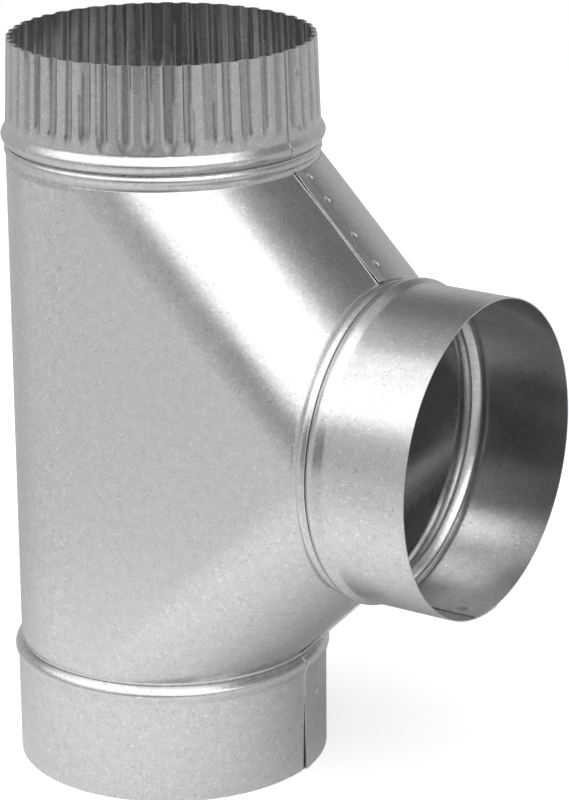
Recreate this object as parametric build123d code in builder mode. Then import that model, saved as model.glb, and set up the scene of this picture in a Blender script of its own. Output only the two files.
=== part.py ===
"""Duct tee of galvanised sheet: a wrapped body with a crimped end, a plain end and a branch collar.

Frame: the origin is the centre of the plain end's rim, +Z runs up the straight run to the
crimped end, +X points out of the branch. Millimetres.
"""

import os
from math import atan2, cos, radians, sin, sqrt, tan

from build123d import *

# Sheet and fits
SHEET = 0.6                    # thickness of every sheet
NEST_GAP = 0.15                # between a collar's tail and the body's neck
BUTT_GAP = 0.2                 # between the body's edge and a collar's stop bead

# Body
BODY_R = 76.3                  # outside radius of the body's back
BODY_HALF = 122.9              # from the branch's axis to each end plane, and to the branch plane
NECK_INSET = 0.1               # a neck is rolled this much narrower than the back
NECK = 7.5                     # straight neck at the crimped end and at the branch
SHORT_NECK = 1.5               # straight edge at the plain end
NECK_LIP = 0.6                 # straight edge before the locking ridge
RIDGE_W = 4.0                  # locking ridge rolled into a neck
RIDGE_RISE = 1.2
TAIL_RIDGE_W = 2.6             # and into the tail inside it
TAIL_RIDGE_RISE = 0.5

# Collars
PLAIN_R = 77.4                 # inside radius of the plain end
DUCT_R = 76.2                  # inside radius of the branch
CRIMP_BASE_R = 75.7            # inside radius of the crimped end where the crimps start
CRIMP_TIP_R = 74.5             # outside radius on the crests at the rim
BEAD_W = 8.0                   # stop bead of each collar
BEAD_RISE = 2.6
SHOULDER = 0.4                 # the bead's inner face ends this much before its outer one
PLAIN_RING = 53.0              # rim to bead at the plain end
BRANCH_RING = 45.2             # rim to bead at the branch
CRIMP_RING = 43.5              # bead to rim at the crimped end
TAIL = 7.0                     # how far a collar reaches into the body
TAIL_ROLL = 0.9                # the tail's free edge rolled inward
TAIL_ROLL_RUN = 2.4

# Crimps
CRIMPS = 48
CRIMP_DEPTH = 1.7              # at the rim
CRIMP_START_DEPTH = 0.8        # where a crimp has just opened
CRIMP_FOOT_DEPTH = 0.15        # at its foot, next to the bead
CRIMP_START = 4.5              # length over which a crimp opens
CRIMP_FOOT_RUN = 1.5           # round ring left between the bead and the crimps
CRIMP_SINK = 0.08              # the crimped wall lies this much inside the round ring
VALLEY_W = 1.9                 # flat floor of a crimp
SLOPE_RUN = 1.45               # sideways run of a crimp's wall for each mm of its depth
CRIMP_WANDER = 0.06            # of the pitch, how unevenly the crimps are set

# Lap seams and spot welds
LAP_CRIMPS = 2                 # a collar's overlap, counted in crimps
COLLAR_LAP = LAP_CRIMPS * 360.0 / CRIMPS
LAP_BLEND = 90.0               # degrees over which the outer end comes back to the round
LAP_LIFT = 0.96 * SHEET        # rise of the outer end over the sheet below
PLAIN_LAP_AT = 5.5             # degrees from +X to the visible edge
CRIMP_LAP_AT = -5.0
BRANCH_LAP_AT = 83.0           # degrees from +Y down and round the branch
WELD_FROM_EDGE = 10.0          # degrees
CRIMP_WELD_FROM_EDGE = 360.0 / CRIMPS
BODY_LAP_EDGE = -2.0           # y of the visible edge on both slanted faces
BODY_LAP_SLIP = 1.1            # sideways slip that brings the lifted sheet back to the face
WELD_Y = 6.3
BODY_WELD_SHARES = (0.07, 0.28, 0.6, 0.86)  # down each slanted face from its end plane
WELD_R = 2.2                   # radius of a spot weld's dimple
WELD_DEPTH = 0.6
WELD_SIDES = 12
WELD_STAND = 0.4               # how far the cutting shape stands proud of the sheet
WELD_TAPER = 64.0              # degrees, how far the dimple's wall leans out

# Levels along the run and along the branch
PLAIN_EDGE = PLAIN_RING + BEAD_W + BUTT_GAP
LOW_PLANE = PLAIN_EDGE + SHORT_NECK
AXIS_Z = LOW_PLANE + BODY_HALF
HIGH_PLANE = AXIS_Z + BODY_HALF
CRIMP_EDGE = HIGH_PLANE + NECK
CRIMP_FOOT = CRIMP_EDGE + BUTT_GAP + BEAD_W
RUN_LENGTH = CRIMP_FOOT + CRIMP_RING
BRANCH_EDGE = BODY_HALF + NECK
BRANCH_RIM = BRANCH_EDGE + BUTT_GAP + BEAD_W + BRANCH_RING

NECK_R = BODY_R - NECK_INSET - SHEET
TAIL_R = NECK_R - SHEET - NEST_GAP
MOUTH_CUT = 1.0                # how far the inside runs out through each end plane
SLANT = sqrt(2)                # a step along a slanted face for each step up the run
OVAL_AT = BODY_HALF / SLANT + SHEET * (1 - 1 / SLANT)
OVAL_OUT = BODY_R / SLANT      # half height of the slanted faces' oval
BEAD_SHAPE = ((0.1, 0.5), (0.32, 0.96), (0.68, 0.96), (0.9, 0.5))
RIDGE_SHAPE = ((0.32, 1.0), (0.68, 1.0))
TAIL_RIDGE_SHAPE = ((0.5, 1.0),)


def bump(start, end, rise, shape):
    """Points of a bead or ridge, between its start and its end, as (radius, height)."""
    return [
        (start[0] + (end[0] - start[0]) * along + rise * up, start[1] + (end[1] - start[1]) * along)
        for along, up in shape
    ]


def section_plane(frame, angle, slip=0.0):
    """Plane through the frame's axis at an angle: its x is the radius, its y the axis."""
    out = frame.x_dir * cos(radians(angle)) + frame.y_dir * sin(radians(angle))
    return Plane(origin=frame.origin, x_dir=out, z_dir=out.cross(frame.z_dir))


def rolled_section(frame, angle, inner_line):
    """Section of a rolled strip of sheet, from the line of its inner face."""
    with BuildSketch(section_plane(frame, angle)) as section:
        with BuildLine():
            Polyline(*inner_line)
            offset(amount=SHEET, kind=Kind.INTERSECTION, side=Side.RIGHT, closed=True)
        make_face()
    return section.sketch


def ring_line(ring_r, foot, ring):
    """Inner line of a collar's ring and stop bead, from height foot upward."""
    root = (ring_r, foot + ring)
    shoulder = (TAIL_R, foot + ring + BEAD_W - SHOULDER)
    return [(ring_r, foot), root, *bump(root, shoulder, BEAD_RISE, BEAD_SHAPE), shoulder]


def tail_line(bead_end, locked):
    """Inner line of a collar's tail inside the body, with or without the locking ridge."""
    edge = bead_end + BUTT_GAP
    tip = edge + TAIL
    ridge = []
    if locked:
        middle = edge + NECK_LIP + RIDGE_W / 2
        foot = (TAIL_R, middle - TAIL_RIDGE_W / 2)
        head = (TAIL_R, middle + TAIL_RIDGE_W / 2)
        ridge = [foot, *bump(foot, head, TAIL_RIDGE_RISE, TAIL_RIDGE_SHAPE), head]
    start = (TAIL_R, bead_end - SHOULDER)
    return [start, *ridge, (TAIL_R, tip - TAIL_ROLL_RUN), (TAIL_R - TAIL_ROLL, tip)]


def roll_up(frame, lap_at, ring_r, foot, ring, locked, hand=1):
    """Rolls a collar round the frame's axis, its ring's outer end lifted over its inner end."""
    blend_end = lap_at + hand * LAP_BLEND
    section = rolled_section(frame, blend_end, ring_line(ring_r, foot, ring))
    out = section_plane(frame, blend_end).x_dir
    turn = frame.z_dir * hand
    revolve(section, axis=Axis(frame.origin, turn), revolution_arc=360 - LAP_BLEND + COLLAR_LAP)
    lifted = frame.origin - out * LAP_LIFT
    revolve(section, axis=Axis(lifted, -turn), revolution_arc=LAP_BLEND)
    tail = rolled_section(frame, blend_end, tail_line(foot + ring + BEAD_W, locked))
    revolve(tail, axis=Axis(frame.origin, turn), revolution_arc=360)


def dimple(surface_point, out):
    """Dimple of one spot weld, pressed in at a point of the outer sheet."""
    rim_plane = Plane(origin=surface_point + out * WELD_STAND, z_dir=out)
    with BuildSketch(rim_plane) as rim:
        RegularPolygon(WELD_R + WELD_STAND * tan(radians(WELD_TAPER)), WELD_SIDES)
    extrude(rim.sketch, amount=-(WELD_STAND + WELD_DEPTH), taper=WELD_TAPER, mode=Mode.SUBTRACT)


def collar_weld(frame, angle, outer_r, height):
    """Spot weld in a collar's lap; outer_r is the outside of the outer sheet there."""
    out = section_plane(frame, angle).x_dir
    dimple(frame.origin + out * outer_r + frame.z_dir * height, out)


def body_weld(share, upper):
    """Spot weld in the lap of a slanted face, a share of the way down it."""
    side = 1 if upper else -1
    out = Vector(1, 0, side) / SLANT
    oval = OVAL_OUT * sqrt(1 - ((WELD_Y + BODY_LAP_SLIP) / BODY_R) ** 2)
    along = Vector(-1, 0, side) * (BODY_HALF - BODY_R) * (0.5 - share)
    foot = Vector(0, WELD_Y, AXIS_Z) + out * (OVAL_AT + LAP_LIFT + oval) + along
    dimple(foot, out)


def lifted_r(radius, swing):
    """Radius of the outer sheet, swing degrees on from the lap's edge."""
    if swing >= LAP_BLEND:
        return radius
    return radius + LAP_LIFT * (1 - sin(radians(swing)))


def polar(radius, swing, side=0.0):
    """Point of the crimped wall, swing degrees on from its lap's edge and then side mm across."""
    turn = radians(CRIMP_LAP_AT + swing)
    return (radius * cos(turn) - side * sin(turn), radius * sin(turn) + side * cos(turn))


def crimped_outline(crest_r, depth, inset, step):
    """Closed outline of the crimped wall at one level, inset from its outside.

    A sheet ends at the foot of crimp number step, and the wall is lifted from there on.
    """
    pitch = 360.0 / CRIMPS
    spread = inset * tan(atan2(1, SLOPE_RUN) / 2)
    points = []
    for k in range(CRIMPS):
        lifted = lifted_r(crest_r, k * pitch)
        if k == step:
            points += [polar(r - inset, k * pitch) for r in (crest_r, lifted)]
        base_r = lifted if k >= step else crest_r
        swing = (k + 0.5 + CRIMP_WANDER * sin(2.4 * k * k + 0.7)) * pitch
        down = depth * (0.9 + 0.1 * sin(1.7 * k))
        floor = VALLEY_W / 2 * (1 + 0.12 * sin(3.1 * k + 0.4)) + spread
        lip = floor + SLOPE_RUN * down
        for side, drop in ((-lip, 0), (-floor, down), (floor, down), (lip, 0)):
            points.append(polar(base_r - drop - inset, swing, side))
    return points


def crimped_wall(levels, inset, step, mode):
    """Ruled solid through the outlines at the given levels."""
    outlines = []
    for height, crest_r, depth in levels:
        with BuildSketch(Plane.XY.offset(height)) as outline:
            with BuildLine():
                Polyline(*crimped_outline(crest_r, depth, inset, step), close=True)
            make_face()
        outlines.append(outline.sketch)
    loft(outlines, ruled=True, mode=mode)


def run_channel(radius, low, high, length):
    """Half-round back with flat sides reaching the branch plane, running up the straight run."""
    with BuildSketch(Plane.XY.offset(low)) as channel:
        Circle(radius)
        with Locations((length / 2, 0)):
            Rectangle(length, 2 * radius)
    extrude(channel.sketch, amount=high - low)


def slant_channel(radius, across, upper, lap):
    """Keeps what lies under one slanted half-oval face; its sheet may carry the lap."""
    side = 1 if upper else -1
    middle = Vector(0, 0, AXIS_Z)
    out = Vector(1, 0, side) / SLANT
    along = Vector(-1, 0, side) / SLANT
    plane = Plane(origin=middle, x_dir=out, z_dir=out.cross(Vector(0, 1, 0)))
    reach = BODY_HALF * 3
    with BuildSketch(plane) as slant:
        if lap:
            with Locations((OVAL_AT + LAP_LIFT, -BODY_LAP_SLIP)):
                Ellipse(across, radius)
            with Locations((OVAL_AT + reach / 2, BODY_LAP_EDGE - reach / 2), (OVAL_AT - reach / 2, 0)):
                Rectangle(reach, reach, mode=Mode.SUBTRACT)
            with Locations((OVAL_AT, 0)):
                Ellipse(across, radius)
        else:
            with Locations((OVAL_AT, 0)):
                Ellipse(across, radius)
        with Locations((OVAL_AT - reach / 2, 0)):
            Rectangle(reach, 2 * radius + SHEET)
    extrude(slant.sketch, amount=reach, both=True, mode=Mode.INTERSECT)


def neck(frame, length, ridged):
    """Straight neck of the body along a frame's axis, its outer edge at the frame's origin."""
    ridge = []
    if ridged:
        foot = (NECK_R, NECK_LIP)
        head = (NECK_R, NECK_LIP + RIDGE_W)
        ridge = [foot, *bump(foot, head, RIDGE_RISE, RIDGE_SHAPE), head]
    section = rolled_section(frame, 0, [(NECK_R, 0), *ridge, (NECK_R, length)])
    revolve(section, axis=Axis(frame.origin, frame.z_dir), revolution_arc=360)


# Frames: z runs from each mouth into the body
LOW_FRAME = Plane.XY
HIGH_FRAME = Plane(origin=(0, 0, RUN_LENGTH), x_dir=(1, 0, 0), z_dir=(0, 0, -1))
BRANCH_FRAME = Plane(origin=(BRANCH_RIM, 0, AXIS_Z), x_dir=(0, 1, 0), z_dir=(-1, 0, 0))

# Body: one sheet wrapped round the back, lapped and spot welded along both slanted faces
with BuildPart() as inside:
    run_channel(BODY_R - SHEET, LOW_PLANE - MOUTH_CUT, HIGH_PLANE + MOUTH_CUT, BODY_HALF + MOUTH_CUT)
    slant_channel(BODY_R - SHEET, OVAL_OUT - SHEET, True, False)
    slant_channel(BODY_R - SHEET, OVAL_OUT - SHEET, False, False)

with BuildPart() as body_wrapper:
    run_channel(BODY_R, LOW_PLANE, HIGH_PLANE, BODY_HALF)
    slant_channel(BODY_R, OVAL_OUT, True, True)
    slant_channel(BODY_R, OVAL_OUT, False, True)
    add(inside.part, mode=Mode.SUBTRACT)
    neck(Plane(origin=(0, 0, PLAIN_EDGE), x_dir=(1, 0, 0), z_dir=(0, 0, 1)), SHORT_NECK, False)
    neck(Plane(origin=(0, 0, CRIMP_EDGE), x_dir=(1, 0, 0), z_dir=(0, 0, -1)), NECK, True)
    neck(Plane(origin=(BRANCH_EDGE, 0, AXIS_Z), x_dir=(0, 1, 0), z_dir=(-1, 0, 0)), NECK, True)
    for share in BODY_WELD_SHARES:
        body_weld(share, True)
        body_weld(share, False)

# Plain collar: a rolled strip with its stop bead against the body's plain edge
with BuildPart() as plain_collar:
    roll_up(LOW_FRAME, PLAIN_LAP_AT, PLAIN_R, 0, PLAIN_RING, False)
    lapped_r = lifted_r(PLAIN_R + SHEET, WELD_FROM_EDGE)
    for share in (0.16, 0.72):
        collar_weld(LOW_FRAME, PLAIN_LAP_AT + WELD_FROM_EDGE, lapped_r, share * PLAIN_RING)

# Branch collar: the same strip on the branch, its lap underneath
with BuildPart() as branch_collar:
    roll_up(BRANCH_FRAME, BRANCH_LAP_AT, DUCT_R, 0, BRANCH_RING, True)
    lapped_r = lifted_r(DUCT_R + SHEET, WELD_FROM_EDGE)
    for share in (0.25, 0.75):
        collar_weld(BRANCH_FRAME, BRANCH_LAP_AT + WELD_FROM_EDGE, lapped_r, share * BRANCH_RING)

# Crimped collar: its ring is crimped from the bead to the rim, to slip inside the next duct
crimp_from = CRIMP_FOOT + CRIMP_FOOT_RUN / 2
crimp_run = RUN_LENGTH - crimp_from - CRIMP_START
crest_base = CRIMP_BASE_R + SHEET - CRIMP_SINK
crest_start = crest_base + (CRIMP_TIP_R - crest_base) * CRIMP_START / CRIMP_RING
lean_per_mm = (CRIMP_TIP_R - crest_start) / crimp_run
deepening_per_mm = (CRIMP_DEPTH - CRIMP_START_DEPTH) / crimp_run
wall_foot = (crimp_from, crest_base, CRIMP_FOOT_DEPTH)
below_foot = (crimp_from - MOUTH_CUT, crest_base, CRIMP_FOOT_DEPTH)
opened = (crimp_from + CRIMP_START, crest_start, CRIMP_START_DEPTH)
rim = (RUN_LENGTH, CRIMP_TIP_R, CRIMP_DEPTH)
past_rim = (
    RUN_LENGTH + MOUTH_CUT,
    CRIMP_TIP_R + lean_per_mm * MOUTH_CUT,
    CRIMP_DEPTH + deepening_per_mm * MOUTH_CUT,
)
with BuildPart() as crimped_band:
    crimped_wall([wall_foot, opened, rim], 0.0, 0, Mode.ADD)
    crimped_wall([below_foot, wall_foot, opened, past_rim], SHEET, LAP_CRIMPS, Mode.SUBTRACT)

with BuildPart() as crimped_collar:
    foot = CRIMP_RING - CRIMP_FOOT_RUN
    roll_up(HIGH_FRAME, -CRIMP_LAP_AT, CRIMP_BASE_R, foot, CRIMP_FOOT_RUN, True, hand=-1)
    add(crimped_band.part)
    for share in (0.25, 0.86):
        drop = share * CRIMP_RING
        crest = lifted_r(CRIMP_TIP_R - lean_per_mm * drop, CRIMP_WELD_FROM_EDGE)
        collar_weld(HIGH_FRAME, -CRIMP_LAP_AT - CRIMP_WELD_FROM_EDGE, crest, drop)

# One file for each piece of sheet
os.makedirs("parts", exist_ok=True)
body_wrapper.part.label = "body_wrapper"
export_step(body_wrapper.part, "parts/body_wrapper.step")
plain_collar.part.label = "plain_collar"
export_step(plain_collar.part, "parts/plain_collar.step")
branch_collar.part.label = "branch_collar"
export_step(branch_collar.part, "parts/branch_collar.step")
crimped_collar.part.label = "crimped_collar"
export_step(crimped_collar.part, "parts/crimped_collar.step")
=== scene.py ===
"""Duct tee of galvanised sheet in the photograph's view: rolled sheets, zinc finish, light and camera."""

from math import asin, atan2, cos, degrees, hypot, pi, radians, sin, sqrt

import bmesh
import bpy
from mathutils import Matrix, Vector


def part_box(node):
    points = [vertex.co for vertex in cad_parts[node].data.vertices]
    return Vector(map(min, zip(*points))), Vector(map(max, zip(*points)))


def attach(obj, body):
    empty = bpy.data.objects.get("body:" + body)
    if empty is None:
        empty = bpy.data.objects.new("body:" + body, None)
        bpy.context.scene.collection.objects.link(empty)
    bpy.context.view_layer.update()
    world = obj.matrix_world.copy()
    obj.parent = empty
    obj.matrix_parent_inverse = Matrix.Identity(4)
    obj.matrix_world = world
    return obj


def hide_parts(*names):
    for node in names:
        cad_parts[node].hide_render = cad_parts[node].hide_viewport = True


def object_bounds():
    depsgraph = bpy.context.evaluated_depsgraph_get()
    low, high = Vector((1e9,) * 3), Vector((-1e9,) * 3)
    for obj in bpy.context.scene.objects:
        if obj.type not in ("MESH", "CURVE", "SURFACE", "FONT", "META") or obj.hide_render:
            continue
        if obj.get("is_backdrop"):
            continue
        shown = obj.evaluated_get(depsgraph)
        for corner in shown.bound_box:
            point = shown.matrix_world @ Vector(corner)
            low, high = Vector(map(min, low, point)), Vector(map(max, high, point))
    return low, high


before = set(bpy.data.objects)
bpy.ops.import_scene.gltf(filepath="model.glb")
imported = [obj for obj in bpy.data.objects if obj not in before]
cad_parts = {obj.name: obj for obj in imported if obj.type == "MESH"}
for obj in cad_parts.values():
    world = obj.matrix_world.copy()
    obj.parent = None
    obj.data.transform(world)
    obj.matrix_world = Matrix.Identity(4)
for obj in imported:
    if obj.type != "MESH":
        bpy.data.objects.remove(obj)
cad_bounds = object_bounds()
MM = 0.001


def corner(node, high, axis):
    """One coordinate of a node's box, in millimetres."""
    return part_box(node)[high][axis] / MM


# Sheet sizes in millimetres
SHEET = 0.6
BODY_R = 76.3                  # outside radius of the body's back
PLAIN_R = 77.4                 # inside radius of the plain end
DUCT_R = 76.2                  # inside radius of the branch
CRIMP_BASE_R = 75.7            # inside radius of the crimped end next to its bead
CRIMP_TIP_R = 74.5             # outside radius on the crests at its rim
BUTT_GAP = 0.2                 # between a collar's bead and the body's rim

# Necks of the body, with the ridge that locks a collar in
NECK_R = 75.6                  # inside radius
NECK = 7.5
SHORT_NECK = 1.5               # at the plain end, which has no ridge
NECK_STEP = 0.15               # run of the step from the body down to a neck
NECK_LIP = 0.6                 # plain rim beyond the ridge
RIDGE_W = 4.0
RIDGE_RISE = 0.85
RIDGE_FULLNESS = 0.8           # a lower power makes a hump fuller
RIDGE_ROWS = 12

# Stop beads
BEAD_W = 8.0
BEAD_RISE = 2.6
BEAD_SPREAD = 2.0              # the bead eases into its ring this far before its own foot
BEAD_SKEW = 1.25               # above 1, the fullest place is past the middle
BEAD_EASE = 1.5                # power on the ring's side
BEAD_FULLNESS = 0.8            # power on the body's side
BEAD_ROWS = 20

# Tails of the collars, inside the body's necks
TAIL_R = 74.85                 # inside radius
TAIL = 7.0
TAIL_RIDGE_W = 2.6
TAIL_RIDGE_RISE = 0.5
TAIL_RIDGE_ROWS = 8
TAIL_ROLL = 0.9                # the last of a tail turns inward
TAIL_ROLL_RUN = 2.4
TAIL_ROLL_LINE = ((0.0, 1.0), (0.3, 0.5), (1.0, 0.0))  # shares inward, and back from the tip
BRANCH_TAIL_ROLL = 1.3         # the branch's tail is rolled, as seen through its mouth
ROLL_TURN = 0.8                # of half a turn
ROLL_ROWS = 14

# Levels of the solids, in millimetres
PLAIN_EDGE = corner("body_wrapper", 0, 2)
CRIMP_EDGE = corner("body_wrapper", 1, 2)
BRANCH_EDGE = corner("body_wrapper", 1, 0)
RUN_LENGTH = corner("crimped_collar", 1, 2)
BRANCH_RIM = corner("branch_collar", 1, 0)
LOW_PLANE = PLAIN_EDGE + SHORT_NECK
HIGH_PLANE = CRIMP_EDGE - NECK
AXIS_Z = (LOW_PLANE + HIGH_PLANE) / 2
HALF = (HIGH_PLANE - LOW_PLANE) / 2

# Laps of the collars, in degrees round them
COLLAR_LAP = 15.0
PLAIN_LAP_AT = 2.5
CRIMP_LAP_AT = -4.0
BRANCH_LAP_AT = 83.0
LAP_LIFT = 0.57                # rise of the outer end over the inner one, in millimetres
LAP_BLEND = 90.0               # a lifted end comes back to the round over this turn
TAIL_LIFT_SHARE = 0.2
PLAIN_CURL = 0.6               # the loose corner at the foot stands off, in millimetres
PLAIN_CURL_TURN = 7.0
PLAIN_CURL_REACH = 0.7         # of the collar's width

# Laps of the body's slanted faces, in millimetres; places are from the middle
BODY_LAP_EDGE = 0.0
BODY_LAP_UNDER = 16.0
BODY_LAP_FLAT = 10.0
BODY_LAP_BLEND = 60.0
BODY_CURL = 0.55               # the loose edge stands off by this at its two ends
BODY_CURL_MIDDLE = 0.25        # share of it in the middle
BODY_CURL_ENDS = 3.0           # brings the share to 1 at both ends
BODY_CURL_STOP = 6.2

# Spot welds
WELD_R = 2.3
WELD_DEPTH = 0.95
WELD_TONE = 0.8                # the colour is darker at the welds
WELD_TURN = 10.0               # from a collar's lap edge, in degrees
WELD_Y = 8.2                   # from the body's lap edge, in millimetres
PLAIN_WELD_SHARES = (0.16, 0.72)
BRANCH_WELD_SHARES = (0.25, 0.75)
CRIMP_WELD_SHARES = (0.25, 0.86)
BODY_WELD_SHARES = (0.07, 0.28, 0.6, 0.86)

# Crimps, in millimetres unless said otherwise
CRIMPS = 48
CRIMP_DEPTH = 2.1              # at the rim
CRIMP_START_DEPTH = 1.3        # next to the bead
CRIMP_DEPTH_VARY = 0.12        # the shallowest lack twice this share
CRIMP_START = 9.0              # run over which a valley sinks in
CRIMP_TOE = 0.35               # roundness of a valley's foot
CRIMP_FOOT_RUN = 1.0           # how much the feet differ in place
CRIMP_SHIFT = 0.07             # how far a crimp strays, in pitches
CRIMP_FLOOR = 1.35             # half of a valley's flat floor
CRIMP_FLOOR_VARY = 0.4
CRIMP_FLANK = 1.6              # run of a valley's flank
CRIMP_FLANK_VARY = 0.25
CRIMP_LEAN = 0.35              # share by which the two flanks differ
CRIMP_PAINTED_SHADE = 0.72              # painted shade: the colour in the valleys is multiplied by this
CRIMP_COLUMNS = 12             # mesh columns to a crimp
CRIMP_FEET_AT = 4.0            # the rows are closest this far above the bead

# Spacing of the meshes: plain steps, and (reach, step) round a weld
BODY_TURN = 3.0
COLLAR_TURN = 2.0
COLLAR_ROW = 6.0
CRIMP_ROW = 3.0
SLANT_ROWS = 12
FLAT_COLUMNS = (0.0, 0.03, 0.35, 0.65, 0.97, 1.0)
WELD_TURNS = (2.4, 0.3)
WELD_ROWS = (3.0, 0.4)
CRIMP_WELD_ROWS = (3.0, 0.6)
BODY_WELD_ROWS = (3.2, 0.4)
SAME_POINT = 1e-4
SHARP_ANGLE = 42.0             # in degrees

# Zinc finish: shades of its specks, roughness, and sizes of its patterns
ZINC_DARK = 0.46
ZINC_MIDDLE = 0.61
ZINC_LIGHT = 0.78
ZINC_SMOOTH = 0.22
ZINC_ROUGH = 0.31
GRAIN_SCALE = 760.0
MOTTLE_SCALE = 210.0
CLOUD_SCALE = 16.0
NOISE_SPAN = (0.3, 0.7)        # part of a pattern's range that is put to use
SPECK_STOPS = (0.30, 0.38, 0.60, 0.70)
MOTTLE_SHARE = 0.06            # lightens and darkens the specks
BUMP_STRENGTH = 0.10
BUMP_DEPTH = 0.0005            # in metres

# Light of the photograph's studio, in degrees and in strength
CANOPY_TURN = 10.0             # from the front to the right
CANOPY_EDGE = 24.0
CANOPY_SOFT = 6.0
CANOPY_SIDE = 88.0
CANOPY_SIDE_SOFT = 14.0
CANOPY_LIGHT = 1.0
CANOPY_RIGHT_LIGHT = 1.45
CANOPY_RIGHT_EDGE = (-0.5, 0.8)  # it grows between these shares to the right
STUDIO_REAR = 0.2
STUDIO_REAR_EDGE = (10.0, 32.0)
STUDIO_BACKDROP = 0.55
STUDIO_CEILING = 0.35
STUDIO_CEILING_EDGE = (45.0, 68.0)
STUDIO_FRONT = 0.6
STUDIO_FRONT_EDGE = (-0.6, 0.4)  # it comes in between these shares ahead
DARK_TURN = 22.0               # the dark side, about where the camera stands
DARK_EDGE = (38.0, 8.0)
DARK_SHARE = 0.35
LIGHT_TARGET = (0.05, 0.0, 0.18)

# Floor, in metres and in strength
FLOOR_COLOUR = 0.6
FLOOR_WHITE = 0.62             # for the camera
FLOOR_PAINTED_LIGHT = 0.5              # painted light on the floor that only the metal sees, near the part and far from it
FLOOR_PAINTED_LIGHT_FAR = 0.17
FLOOR_PAINTED_LIGHT_REACH = (0.14, 0.5)  # it fades between these distances from the part's axis
FLOOR_PAINTED_LIGHT_BACK = (-0.25, 0.15)  # and between these places from front to back
FLOOR_R = 1.6
FLOOR_SIDES = 96

# Camera of the photograph, in metres, degrees and millimetres
CAMERA_PLACE = Vector((0.895515, -1.243265, 0.690461))
CAMERA_YAW = radians(-33.602)
CAMERA_PITCH = radians(-18.371)
CAMERA_ROLL = radians(-0.396)
CAMERA_LENS = 146.05
CAMERA_SENSOR = 36.0
CAMERA_CLIP = 50.0


def smooth(low, high, value):
    """Eases from 0 at low to 1 at high."""
    share = min(max((value - low) / (high - low), 0.0), 1.0)
    return share * share * (3 - 2 * share)


def steps(low, high, size, fine_at=(), fine_reach=0.0, fine_size=1.0):
    """Evenly spaced values from low to high, closer together near the given places."""
    values = set()
    count = max(1, round((high - low) / size))
    values.update(round(low + (high - low) * k / count, 5) for k in range(count + 1))
    for place in fine_at:
        reach = round(fine_reach / fine_size)
        near = (round(place + k * fine_size, 5) for k in range(-reach, reach + 1))
        values.update(v for v in near if low < v < high)
    return sorted(values)


def dimple(across, along):
    """Depth of a spot weld's dimple at a distance from its centre."""
    return WELD_DEPTH * max(0.0, 1 - (across * across + along * along) / (WELD_R * WELD_R))


# Making a piece of sheet

def outer_face(name, grids, core):
    """Mesh of a sheet's outer face from grids of points; core gives a point inside the duct."""
    shell = bmesh.new()

    def face(points):
        """Face that looks away from the duct's inside."""
        corners = [shell.verts.new(p * MM) for p in points]
        made = shell.faces.new(corners)
        made.normal_update()
        centre = sum(points, Vector()) / len(points)
        if made.normal.dot(centre - core(centre)) < 0:
            made.normal_flip()

    for grid in grids:
        for low, high in zip(grid, grid[1:]):
            for a, b, c, d in zip(low, low[1:], high[1:], high):
                ends = zip((a, b, c, d), (b, c, d, a))
                around = [p for p, q in ends if (p - q).length > SAME_POINT]
                if len(around) > 2:
                    face(around)
    bmesh.ops.remove_doubles(shell, verts=shell.verts, dist=SAME_POINT * MM)
    for made in shell.faces:
        made.smooth = True
    surface = bpy.data.meshes.new(name + "_face")
    shell.to_mesh(surface)
    shell.free()
    return surface


def thickened(name, surface):
    """Mesh of a sheet, with its thickness inward from its outer face."""
    draft = bpy.data.objects.new(name + "_draft", surface)
    bpy.context.scene.collection.objects.link(draft)
    thick = draft.modifiers.new("sheet", "SOLIDIFY")
    thick.thickness = SHEET * MM
    thick.offset = -1
    thick.use_even_offset = True
    graph = bpy.context.evaluated_depsgraph_get()
    mesh = bpy.data.meshes.new_from_object(draft.evaluated_get(graph))
    bpy.data.objects.remove(draft)
    mesh.name = name
    mesh.set_sharp_from_angle(angle=radians(SHARP_ANGLE))
    return mesh


def sheet_piece(name, node, grids, core, tone=None):
    """Piece of sheet that replaces a node; tone gives the finish's shade at a point."""
    mesh = thickened(name, outer_face(name, grids, core))
    shades = mesh.color_attributes.new("tone", "FLOAT_COLOR", "POINT")
    for vertex, shade in zip(mesh.vertices, shades.data):
        level = tone(vertex.co / MM) if tone else 1.0
        shade.color = (level, level, level, 1.0)
    piece = bpy.data.objects.new(name, mesh)
    bpy.context.scene.collection.objects.link(piece)
    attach(piece, "root")
    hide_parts(node)
    return piece


# The collars, as lines from the rim inward that are turned round their duct

def hump(share):
    """Rounded cross-section of a locking ridge."""
    return sin(pi * min(max(share, 0.0), 1.0)) ** RIDGE_FULLNESS


def bead_hump(share):
    """Cross-section of a stop bead: eases out of the ring, is fullest late and ends steeply."""
    skewed = min(max(share, 0.0), 1.0) ** BEAD_SKEW
    return sin(pi * skewed) ** (BEAD_EASE if skewed < 0.5 else BEAD_FULLNESS)


def bead_line(ring_out, shoulder_r, ring):
    """Line of a stop bead, as (radius, distance from the rim, share of the lap's lift)."""
    line = []
    for k in range(BEAD_ROWS + 1):
        distance = ring - BEAD_SPREAD + (BEAD_SPREAD + BEAD_W) * k / BEAD_ROWS
        t = max(0.0, (distance - ring) / BEAD_W)
        radius = ring_out + (shoulder_r - ring_out) * t + BEAD_RISE * bead_hump(k / BEAD_ROWS)
        line.append((radius, distance, 1.0 - (1 - TAIL_LIFT_SHARE) * smooth(0.8, 1.0, t)))
    return line


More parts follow.
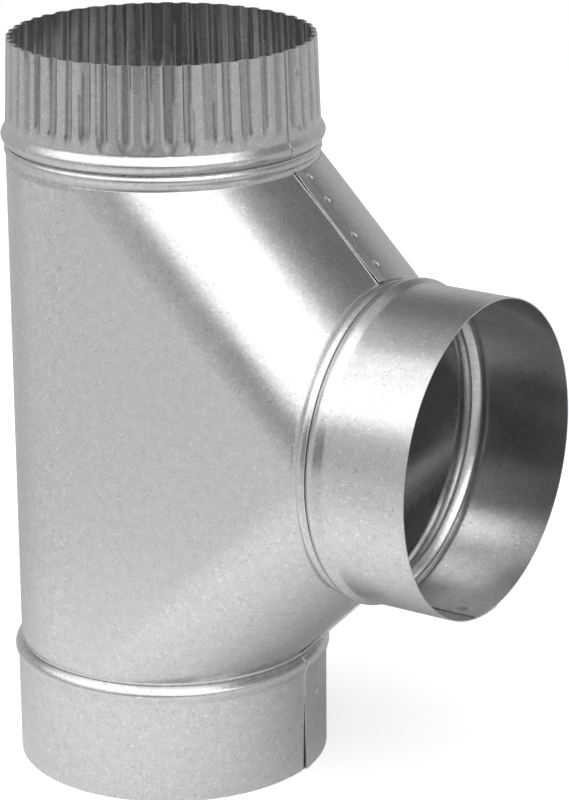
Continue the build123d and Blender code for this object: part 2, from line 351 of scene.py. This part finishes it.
def tail_line(shoulder_r, edge, locked, roll):
    """Line of a collar's tail: with a ridge when locked, and rolled or just turned in at its end."""
    line = []
    if locked:
        middle = edge + NECK_LIP + RIDGE_W / 2
        for k in range(TAIL_RIDGE_ROWS + 1):
            t = k / TAIL_RIDGE_ROWS
            radius = shoulder_r + TAIL_RIDGE_RISE * hump(t)
            line.append((radius, middle + TAIL_RIDGE_W * (t - 0.5), TAIL_LIFT_SHARE))
    if roll:
        for k in range(1, ROLL_ROWS + 1):
            t = k / ROLL_ROWS
            radius = shoulder_r - roll * sin(ROLL_TURN * pi * t)
            line.append((radius, edge + NECK_LIP + (TAIL - NECK_LIP) * t, TAIL_LIFT_SHARE))
    else:
        for inward, back in TAIL_ROLL_LINE:
            distance = edge + TAIL - back * TAIL_ROLL_RUN
            line.append((shoulder_r - inward * TAIL_ROLL, distance, TAIL_LIFT_SHARE))
    return line


def collar_line(ring_r, rim, direction, ring, rows, locked=False, roll=0.0):
    """Outer-face line of a collar from its rim inward, as (radius, level, share of lift, distance)."""
    shoulder_r = TAIL_R + SHEET
    ring_out = ring_r + SHEET
    line = [(ring_out, distance, 1.0) for distance in rows if distance < ring - BEAD_SPREAD]
    line += bead_line(ring_out, shoulder_r, ring)
    line += tail_line(shoulder_r, ring + BEAD_W + BUTT_GAP, locked, roll)
    return [(radius, rim + direction * d, share, d) for radius, d, share in line]


def lap_lift(swing):
    """Rise of a collar's outer end over its inner end, swing degrees on from the visible edge."""
    return LAP_LIFT * (1 - sin(radians(swing))) if swing < LAP_BLEND else 0.0


def curl_rise(swing, distance, width):
    """Share of the curl at a collar's loose corner, which fades round the collar and along it."""
    round_share = 1 - smooth(0.0, PLAIN_CURL_TURN, swing)
    return round_share * (1 - smooth(0.0, PLAIN_CURL_REACH * width, distance))


def collar_grid(line, swings, place, welds, valley=None, curl=0.0):
    """Points of a collar's outer face; welds are (swing, distance from the rim)."""
    grid = []
    width = line[-1][3]
    for swing in swings:
        row = []
        for radius, level, share, distance in line:
            r = radius + lap_lift(swing) * share
            r += curl * curl_rise(swing, distance, width)
            if valley:
                r -= valley(swing, distance)
            for weld_swing, weld_distance in welds:
                across = radians((swing - weld_swing + 180) % 360 - 180) * radius
                r -= dimple(across, distance - weld_distance)
            row.append(place(r, level, swing))
        grid.append(row)
    return grid


def on_run(lap_at):
    """Placing function for what is round the straight run."""

    def place(radius, level, swing):
        """Point at a radius, a level and a turn from the lap."""
        turn = radians(lap_at + swing)
        return Vector((radius * cos(turn), radius * sin(turn), level))

    return place


def on_branch(radius, level, swing):
    """Placing function for the branch, which is turned from +Y down and round."""
    turn = radians(BRANCH_LAP_AT + swing)
    return Vector((level, radius * cos(turn), AXIS_Z - radius * sin(turn)))


def run_core(point):
    """Point of the run's axis at a point's level."""
    return Vector((0, 0, point.z))


def branch_core(point):
    """Point of the branch's axis next to a point."""
    return Vector((point.x, 0, AXIS_Z))


def weld_tone(welds, lap_at, ring_r):
    """Shade of the finish at the spot welds of a collar on the run; welds are (swing, level)."""

    def tone(point):
        """Shade at a point, darkest at a weld."""
        swing = (degrees(atan2(point.y, point.x)) - lap_at) % 360
        shade = 1.0
        for weld_swing, weld_level in welds:
            away = hypot(radians(swing - weld_swing) * ring_r, point.z - weld_level)
            shade *= 1 - (1 - WELD_TONE) * (1 - smooth(0.5 * WELD_R, 0.9 * WELD_R, away))
        return shade

    return tone


def collar_swings():
    """Turns of a plain ring's mesh columns, closer together at the welds in both layers."""
    return steps(0, 360 + COLLAR_LAP, COLLAR_TURN, [WELD_TURN, 360 + WELD_TURN], *WELD_TURNS)


def plain_collar():
    """Collar of the plain end, with two spot welds behind its lap."""
    ring = PLAIN_EDGE - BUTT_GAP - BEAD_W
    welds = [(WELD_TURN, share * ring) for share in PLAIN_WELD_SHARES]
    rows = steps(0, ring, COLLAR_ROW, [w[1] for w in welds], *WELD_ROWS)
    line = collar_line(PLAIN_R, 0.0, 1, ring, rows)
    grid = collar_grid(line, collar_swings(), on_run(PLAIN_LAP_AT), welds, curl=PLAIN_CURL)
    tone = weld_tone(welds, PLAIN_LAP_AT, PLAIN_R)
    return sheet_piece("plain_collar_sheet", "plain_collar", [grid], run_core, tone)


def branch_collar():
    """Collar of the branch, lapped underneath."""
    ring = BRANCH_RIM - BRANCH_EDGE - BUTT_GAP - BEAD_W
    welds = [(WELD_TURN, share * ring) for share in BRANCH_WELD_SHARES]
    rows = steps(0, ring, COLLAR_ROW, [w[1] for w in welds], *WELD_ROWS)
    line = collar_line(DUCT_R, BRANCH_RIM, -1, ring, rows, roll=BRANCH_TAIL_ROLL)
    grid = collar_grid(line, collar_swings(), on_branch, welds)
    return sheet_piece("branch_collar_sheet", "branch_collar", [grid], branch_core)


def crimp_valley(ring):
    """Depth function of the crimps on a ring; the sines give each its own width, depth and foot."""
    pitch = 360.0 / CRIMPS
    mm_per_degree = pi * CRIMP_TIP_R / 180
    gain = (CRIMP_DEPTH - CRIMP_START_DEPTH) / ring

    def valley(swing, distance):
        """Depth of the valleys at a turn and a distance from the rim."""
        k = int(swing // pitch) % CRIMPS
        centre = (k + 0.5 + CRIMP_SHIFT * sin(2.4 * k * k + 0.7)) * pitch
        off = (swing % 360 - centre) * mm_per_degree
        lean = CRIMP_LEAN * sin(5.3 * k + 1.1)
        floor = CRIMP_FLOOR + CRIMP_FLOOR_VARY * sin(3.1 * k + 0.4)
        run = CRIMP_FLANK + CRIMP_FLANK_VARY * sin(1.3 * k + 2.0)
        one_side = smooth(floor, floor + run * (1 - lean), off)
        other_side = smooth(floor, floor + run * (1 + lean), -off)
        foot = ring - CRIMP_FOOT_RUN * (1.2 + sin(4.1 * k + 0.9))
        opening = smooth(foot, foot - CRIMP_START, distance + CRIMP_TOE * off * off)
        deep = CRIMP_START_DEPTH + gain * (ring - distance)
        deep *= 1 - CRIMP_DEPTH_VARY * (1 - sin(1.7 * k))
        return deep * (1 - one_side - other_side) * opening

    return valley


def crimped_collar():
    """Collar of the crimped end, which narrows to its rim."""
    ring = RUN_LENGTH - CRIMP_EDGE - BUTT_GAP - BEAD_W
    narrowing = (CRIMP_BASE_R + SHEET - CRIMP_TIP_R) / ring
    valley = crimp_valley(ring)
    pitch = 360.0 / CRIMPS
    welds = [(pitch, share * ring) for share in CRIMP_WELD_SHARES]
    marks = weld_tone([(turn, RUN_LENGTH - low) for turn, low in welds], CRIMP_LAP_AT, CRIMP_BASE_R)

    def inward(swing, distance):
        """How far the ring's face lies inside its base radius."""
        return narrowing * (ring - distance) + valley(swing, distance) if distance < ring else 0.0

    def tone(point):
        """Shade at a point: painted shade darkens the valleys, and the welds are darker too."""
        distance = RUN_LENGTH - point.z
        swing = degrees(atan2(point.y, point.x)) - CRIMP_LAP_AT
        share = valley(swing % 360, distance) / CRIMP_START_DEPTH if distance < ring else 0.0
        # painted shade: the colour darkens with a valley's depth
        return (1.0 - (1.0 - CRIMP_PAINTED_SHADE) * smooth(0.15, 0.85, share)) * marks(point)

    rows = steps(0, ring, CRIMP_ROW, [w[1] for w in welds] + [ring - CRIMP_FEET_AT], *CRIMP_WELD_ROWS)
    line = collar_line(CRIMP_BASE_R, RUN_LENGTH, -1, ring, rows, locked=True)
    swings = steps(0, 360 + COLLAR_LAP, pitch / CRIMP_COLUMNS)
    grid = collar_grid(line, swings, on_run(CRIMP_LAP_AT), welds, inward)
    return sheet_piece("crimped_collar_sheet", "crimped_collar", [grid], run_core, tone)


# The body

def neck_grid(length, ridged, place):
    """Neck of the body, from the body's end plane outward, with its locking ridge."""
    out = NECK_R + SHEET
    line = [(BODY_R, 0.0), (out, NECK_STEP)]
    if ridged:
        foot = length - NECK_LIP - RIDGE_W
        for k in range(RIDGE_ROWS + 1):
            t = k / RIDGE_ROWS
            line.append((out + RIDGE_RISE * hump(t), foot + RIDGE_W * t))
    line.append((out, length))
    swings = steps(0, 360, BODY_TURN)
    return [[place(radius, level, swing) for radius, level in line] for swing in swings]


def slant_run():
    """Length of a slanted face along its middle."""
    return sqrt(2) * (HALF - BODY_R)


def slant_shares():
    """Shares of a slanted face's length at which its mesh has rows."""
    reach, step = (size / slant_run() for size in BODY_WELD_ROWS)
    return steps(0, 1, 1 / SLANT_ROWS, BODY_WELD_SHARES, reach, step)


def lap_push(y, share):
    """Rise of the lapped layer of a slanted face over the under layer."""
    rise = LAP_LIFT * (1 - smooth(BODY_LAP_FLAT, BODY_LAP_BLEND, y))
    near_edge = BODY_CURL * (1 - smooth(BODY_LAP_EDGE, BODY_CURL_STOP, y))
    return rise + near_edge * (BODY_CURL_MIDDLE + BODY_CURL_ENDS * (share - 0.5) ** 2)


def slanted_grid(first, last, upper, lifted):
    """Slanted face between two angles of the end circle; a lifted one carries the visible lap."""
    side = 1 if upper else -1
    out = Vector((1, 0, side)).normalized()
    weld_angle = degrees(asin(WELD_Y / BODY_R))
    grid = []
    for angle in steps(first, last, BODY_TURN, [weld_angle], *WELD_TURNS):
        turn = radians(angle)
        y = BODY_R * sin(turn)
        start = Vector((BODY_R * cos(turn), y, AXIS_Z + side * HALF))
        end = Vector((HALF, y, AXIS_Z + side * BODY_R * cos(turn)))
        normal = (out * sqrt(2) * cos(turn) + Vector((0, sin(turn), 0))).normalized()
        row = []
        for share in slant_shares():
            push = lap_push(y, share) if lifted else 0.0
            for weld_share in BODY_WELD_SHARES:
                push -= dimple(y - WELD_Y, (share - weld_share) * slant_run())
            row.append(start.lerp(end, share) + normal * push)
        grid.append(row)
    return grid


def body_core(point):
    """Point inside the body's passages near a point of its sheet."""
    near = 1
    if point.x > HALF - near:
        return branch_core(point)
    if point.z > HIGH_PLANE - near or point.z < LOW_PLANE + near:
        return run_core(point)
    crossing = 0.2 * HALF
    return Vector((crossing, 0, AXIS_Z))


def body_wrapper():
    """Body: the lapped slanted faces, the back, the flat sides and the three necks."""
    edge = degrees(asin(BODY_LAP_EDGE / BODY_R))
    under = degrees(asin(BODY_LAP_UNDER / BODY_R))
    grids = [slanted_grid(-90, under, upper, False) for upper in (True, False)]
    grids += [slanted_grid(edge, 90, upper, True) for upper in (True, False)]
    rises = [HALF * (1 - share) for share in slant_shares()]
    levels = [AXIS_Z - rise for rise in rises] + [AXIS_Z + rise for rise in rises[-2::-1]]
    round_run = on_run(0)
    grids.append([[round_run(BODY_R, z, swing) for z in levels] for swing in steps(90, 270, BODY_TURN)])
    for hand in (1, -1):
        widths = [HALF - abs(z - AXIS_Z) for z in levels]
        flat = []
        for width, z in zip(widths, levels):
            flat.append([Vector((width * share, hand * BODY_R, z)) for share in FLAT_COLUMNS])
        grids.append(flat)
    grids.append(neck_grid(SHORT_NECK, False, lambda r, d, swing: round_run(r, LOW_PLANE - d, swing)))
    grids.append(neck_grid(NECK, True, lambda r, d, swing: round_run(r, HIGH_PLANE + d, swing)))
    grids.append(neck_grid(NECK, True, lambda r, d, swing: on_branch(r, HALF + d, swing)))
    return sheet_piece("body_sheet", "body_wrapper", grids, body_core)


# The finish

def set_inputs(node, **values):
    """Sets a shader node's sockets by their names, with spaces written as underscores."""
    for name, value in values.items():
        node.inputs[name.replace("_", " ")].default_value = value


def math_node(tree, operation, *values):
    """Output of a math node on plain values and other outputs."""
    node = tree.nodes.new("ShaderNodeMath")
    node.operation = operation
    for socket, value in zip(node.inputs, values):
        if isinstance(value, (int, float)):
            socket.default_value = value
        else:
            tree.links.new(value, socket)
    return node.outputs["Value"]


def ramp_node(tree, value, low, high, first, last, easing="SMOOTHSTEP"):
    """Output that goes from first to last while a value goes from low to high."""
    node = tree.nodes.new("ShaderNodeMapRange")
    node.interpolation_type = easing
    tree.links.new(value, node.inputs["Value"])
    set_inputs(node, From_Min=low, From_Max=high, To_Min=first, To_Max=last)
    return node.outputs["Result"]


def noise_node(tree, place, scale, detail, roughness):
    """Output of a noise pattern that is fixed to the object."""
    node = tree.nodes.new("ShaderNodeTexNoise")
    set_inputs(node, Scale=scale, Detail=detail, Roughness=roughness)
    tree.links.new(place.outputs["Object"], node.inputs["Vector"])
    return node.outputs["Fac"]


def product_node(tree, first, second):
    """Output of one colour multiplied by another."""
    node = tree.nodes.new("ShaderNodeMix")
    node.data_type = "RGBA"
    node.blend_type = "MULTIPLY"
    node.inputs["Factor"].default_value = 1.0
    tree.links.new(first, node.inputs["A"])
    tree.links.new(second, node.inputs["B"])
    return node.outputs["Result"]


def galvanised():
    """Zinc-coated sheet: fine specks, a mottle, uneven gloss, a faint bump and the pieces' tone, which
    holds painted shade in the crimps' valleys.
    """
    material = bpy.data.materials.new("galvanised_sheet")
    material.use_nodes = True
    tree = material.node_tree
    shader = tree.nodes["Principled BSDF"]
    place = tree.nodes.new("ShaderNodeTexCoord")
    grain = noise_node(tree, place, GRAIN_SCALE, 2.0, 0.55)
    mottle = noise_node(tree, place, MOTTLE_SCALE, 3.0, 0.6)
    clouds = noise_node(tree, place, CLOUD_SCALE, 4.0, 0.6)
    specks = tree.nodes.new("ShaderNodeValToRGB")
    tones = zip(SPECK_STOPS, (ZINC_DARK, ZINC_MIDDLE, ZINC_MIDDLE, ZINC_LIGHT))
    specks.color_ramp.elements.new(0.5)
    specks.color_ramp.elements.new(0.6)
    for stop, (at, tone) in zip(specks.color_ramp.elements, tones):
        stop.position = at
        stop.color = (tone, tone * 1.005, tone * 1.01, 1.0)
    tree.links.new(grain, specks.inputs["Fac"])
    uneven = ramp_node(tree, mottle, *NOISE_SPAN, 1 - MOTTLE_SHARE, 1 + MOTTLE_SHARE, "LINEAR")
    # the pieces' tone, with painted shade in the crimps' valleys, multiplies the colour
    shade = tree.nodes.new("ShaderNodeAttribute")
    shade.attribute_name = "tone"
    mottled = product_node(tree, specks.outputs["Color"], uneven)
    toned = product_node(tree, mottled, shade.outputs["Color"])
    tree.links.new(toned, shader.inputs["Base Color"])
    gloss = ramp_node(tree, clouds, *NOISE_SPAN, ZINC_SMOOTH, ZINC_ROUGH, "LINEAR")
    tree.links.new(gloss, shader.inputs["Roughness"])
    bump = tree.nodes.new("ShaderNodeBump")
    set_inputs(bump, Strength=BUMP_STRENGTH, Distance=BUMP_DEPTH)
    tree.links.new(mottle, bump.inputs["Height"])
    tree.links.new(bump.outputs["Normal"], shader.inputs["Normal"])
    set_inputs(shader, Metallic=1.0)
    return material


# The light, the floor and the camera

def soft_light(name, place, width, height, power):
    """Rectangular soft light at a place, facing the part."""
    data = bpy.data.lights.new(name, "AREA")
    data.shape = "RECTANGLE"
    data.size = width
    data.size_y = height
    data.energy = power
    light = bpy.data.objects.new(name, data)
    light.location = place
    light.rotation_euler = (Vector(LIGHT_TARGET) - Vector(place)).to_track_quat("-Z", "Y").to_euler()
    bpy.context.scene.collection.objects.link(light)


def seen_rays(tree, *rays):
    """1 for the named kinds of ray, from the Light Path node, and 0 for the others."""
    path = tree.nodes.new("ShaderNodeLightPath")
    shown = path.outputs[rays[0]]
    for ray in rays[1:]:
        shown = math_node(tree, "MAXIMUM", shown, path.outputs[ray])
    return shown


def white_floor():
    """Pale floor whose white shows to the camera and in the metal, with the part's shadow on it, and with
    a painted pool of light, brightest near the part and in front, that only the metal sees.
    """
    paint = bpy.data.materials.new("white_floor")
    paint.use_nodes = True
    tree = paint.node_tree
    lit = tree.nodes["Principled BSDF"]
    set_inputs(lit, Base_Color=(FLOOR_COLOUR, FLOOR_COLOUR, FLOOR_COLOUR, 1.0), Roughness=0.9)
    place = tree.nodes.new("ShaderNodeTexCoord")
    away = tree.nodes.new("ShaderNodeVectorMath")
    away.operation = "LENGTH"
    tree.links.new(place.outputs["Object"], away.inputs[0])
    split = tree.nodes.new("ShaderNodeSeparateXYZ")
    tree.links.new(place.outputs["Object"], split.inputs["Vector"])
    # painted light: a glow for glossy rays, brightest near the part and in front, that stands in for the
    # lit floor the metal mirrors
    fade = ramp_node(tree, away.outputs["Value"], *FLOOR_PAINTED_LIGHT_REACH, FLOOR_PAINTED_LIGHT, FLOOR_PAINTED_LIGHT_FAR)
    front = ramp_node(tree, split.outputs["Y"], *FLOOR_PAINTED_LIGHT_BACK, 1.0, 0.0)
    mirrored = seen_rays(tree, "Is Glossy Ray", "Is Transmission Ray")
    painted_light = math_node(tree, "MULTIPLY", mirrored, math_node(tree, "MULTIPLY", fade, front))
    seen = math_node(tree, "MULTIPLY_ADD", seen_rays(tree, "Is Camera Ray"), FLOOR_WHITE, painted_light)
    white = tree.nodes.new("ShaderNodeEmission")
    tree.links.new(seen, white.inputs["Strength"])
    total = tree.nodes.new("ShaderNodeAddShader")
    tree.links.new(lit.outputs[0], total.inputs[0])
    tree.links.new(white.outputs[0], total.inputs[1])
    tree.links.new(total.outputs[0], tree.nodes["Material Output"].inputs["Surface"])
    return paint


def toward(tree, split, turn):
    """How far a direction points toward a turn from the front, -Y, to the right, +X."""
    x_share = math_node(tree, "MULTIPLY", split.outputs["X"], sin(radians(turn)))
    y_share = math_node(tree, "MULTIPLY", split.outputs["Y"], -cos(radians(turn)))
    return math_node(tree, "ADD", x_share, y_share)


def height_ramp(tree, height, low, high, first, last):
    """Output that goes from first to last between two angles above the horizon."""
    return ramp_node(tree, height, sin(radians(low)), sin(radians(high)), first, last)


def canopy_light(tree, split, ahead):
    """Bright canopy in front and above, stronger on the right."""
    height = split.outputs["Z"]
    raised = height_ramp(tree, height, CANOPY_EDGE - CANOPY_SOFT, CANOPY_EDGE + CANOPY_SOFT, 0.0, 1.0)
    outer = cos(radians(CANOPY_SIDE + CANOPY_SIDE_SOFT))
    inner = cos(radians(CANOPY_SIDE - CANOPY_SIDE_SOFT))
    facing = ramp_node(tree, ahead, outer, inner, 0.0, 1.0)
    lights = (CANOPY_LIGHT, CANOPY_RIGHT_LIGHT)
    stronger = ramp_node(tree, split.outputs["X"], *CANOPY_RIGHT_EDGE, *lights)
    return math_node(tree, "MULTIPLY", math_node(tree, "MULTIPLY", raised, facing), stronger)


def room_light(tree, split, ahead):
    """Quieter room around the canopy, with the dark side near where the camera stands."""
    height = split.outputs["Z"]
    backdrop = height_ramp(tree, height, *STUDIO_REAR_EDGE, STUDIO_BACKDROP, STUDIO_REAR)
    ceiling = height_ramp(tree, height, *STUDIO_CEILING_EDGE, 0.0, STUDIO_CEILING)
    rear = math_node(tree, "ADD", backdrop, ceiling)
    more = math_node(tree, "SUBTRACT", STUDIO_FRONT, rear)
    in_front = ramp_node(tree, ahead, *STUDIO_FRONT_EDGE, 0.0, 1.0)
    room = math_node(tree, "ADD", rear, math_node(tree, "MULTIPLY", in_front, more))
    dark = toward(tree, split, DARK_TURN)
    edges = [cos(radians(angle)) for angle in DARK_EDGE]
    return math_node(tree, "MULTIPLY", room, ramp_node(tree, dark, *edges, 1.0, DARK_SHARE))


def studio_world():
    """Soft studio as the metal mirrors it, and plain white for the camera."""
    world = bpy.data.worlds.new("studio")
    world.use_nodes = True
    tree = world.node_tree
    place = tree.nodes.new("ShaderNodeTexCoord")
    split = tree.nodes.new("ShaderNodeSeparateXYZ")
    tree.links.new(place.outputs["Generated"], split.inputs["Vector"])
    height = split.outputs["Z"]
    squared = math_node(tree, "MULTIPLY", height, height)
    level_size = math_node(tree, "SQRT", math_node(tree, "SUBTRACT", 1.0001, squared))
    ahead = math_node(tree, "DIVIDE", toward(tree, split, CANOPY_TURN), level_size)
    light = math_node(tree, "ADD", room_light(tree, split, ahead), canopy_light(tree, split, ahead))
    shown = seen_rays(tree, "Is Camera Ray")
    hidden = math_node(tree, "SUBTRACT", 1.0, shown)
    strength = math_node(tree, "ADD", math_node(tree, "MULTIPLY", light, hidden), shown)
    background = tree.nodes["Background"]
    tree.links.new(strength, background.inputs["Strength"])
    set_inputs(background, Color=(1.0, 1.0, 1.0, 1.0))
    return world


def studio_floor():
    """Round floor under the part, with the white paint."""
    mesh = bpy.data.meshes.new("floor")
    turns = [radians(360 * k / FLOOR_SIDES) for k in range(FLOOR_SIDES)]
    rim = [(FLOOR_R * cos(turn), FLOOR_R * sin(turn), 0) for turn in turns]
    mesh.from_pydata(rim, [], [range(FLOOR_SIDES)])
    floor = bpy.data.objects.new("floor", mesh)
    bpy.context.scene.collection.objects.link(floor)
    floor.location.z = cad_bounds[0][2]
    floor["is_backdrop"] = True
    floor.data.materials.append(white_floor())


def photo_camera():
    """Camera at the photograph's place, looking the same way."""
    data = bpy.data.cameras.new("photo_camera")
    data.lens = CAMERA_LENS
    data.sensor_width = CAMERA_SENSOR
    data.clip_end = CAMERA_CLIP
    camera = bpy.data.objects.new("photo_camera", data)
    level = cos(CAMERA_PITCH)
    forward = Vector((sin(CAMERA_YAW) * level, cos(CAMERA_YAW) * level, sin(CAMERA_PITCH)))
    right = Vector((cos(CAMERA_YAW), -sin(CAMERA_YAW), 0.0))
    above = right.cross(forward)
    across = right * cos(CAMERA_ROLL) + above * sin(CAMERA_ROLL)
    upward = above * cos(CAMERA_ROLL) - right * sin(CAMERA_ROLL)
    camera.matrix_world = Matrix((across, upward, -forward)).transposed().to_4x4()
    camera.location = CAMERA_PLACE
    bpy.context.scene.collection.objects.link(camera)
    bpy.context.scene.camera = camera


# The part
zinc = galvanised()
for make_sheet in (body_wrapper, plain_collar, branch_collar, crimped_collar):
    make_sheet().data.materials.append(zinc)
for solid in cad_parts.values():
    for slot in solid.material_slots:
        slot.material = zinc

# The studio
bpy.context.scene.world = studio_world()
soft_light("right_soft_box", (1.75, -1.5, 2.0), width=1.4, height=1.2, power=4.0)
soft_light("left_soft_box", (-1.2, -1.6, 1.6), width=0.9, height=0.9, power=1.0)
studio_floor()
photo_camera()
bpy.context.scene.view_settings.view_transform = "Standard"

# Sizes of the solids and of the dressed part
boxes = {"cad": cad_bounds, "visual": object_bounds()}
{name: [list(corner) for corner in box] for name, box in boxes.items()}
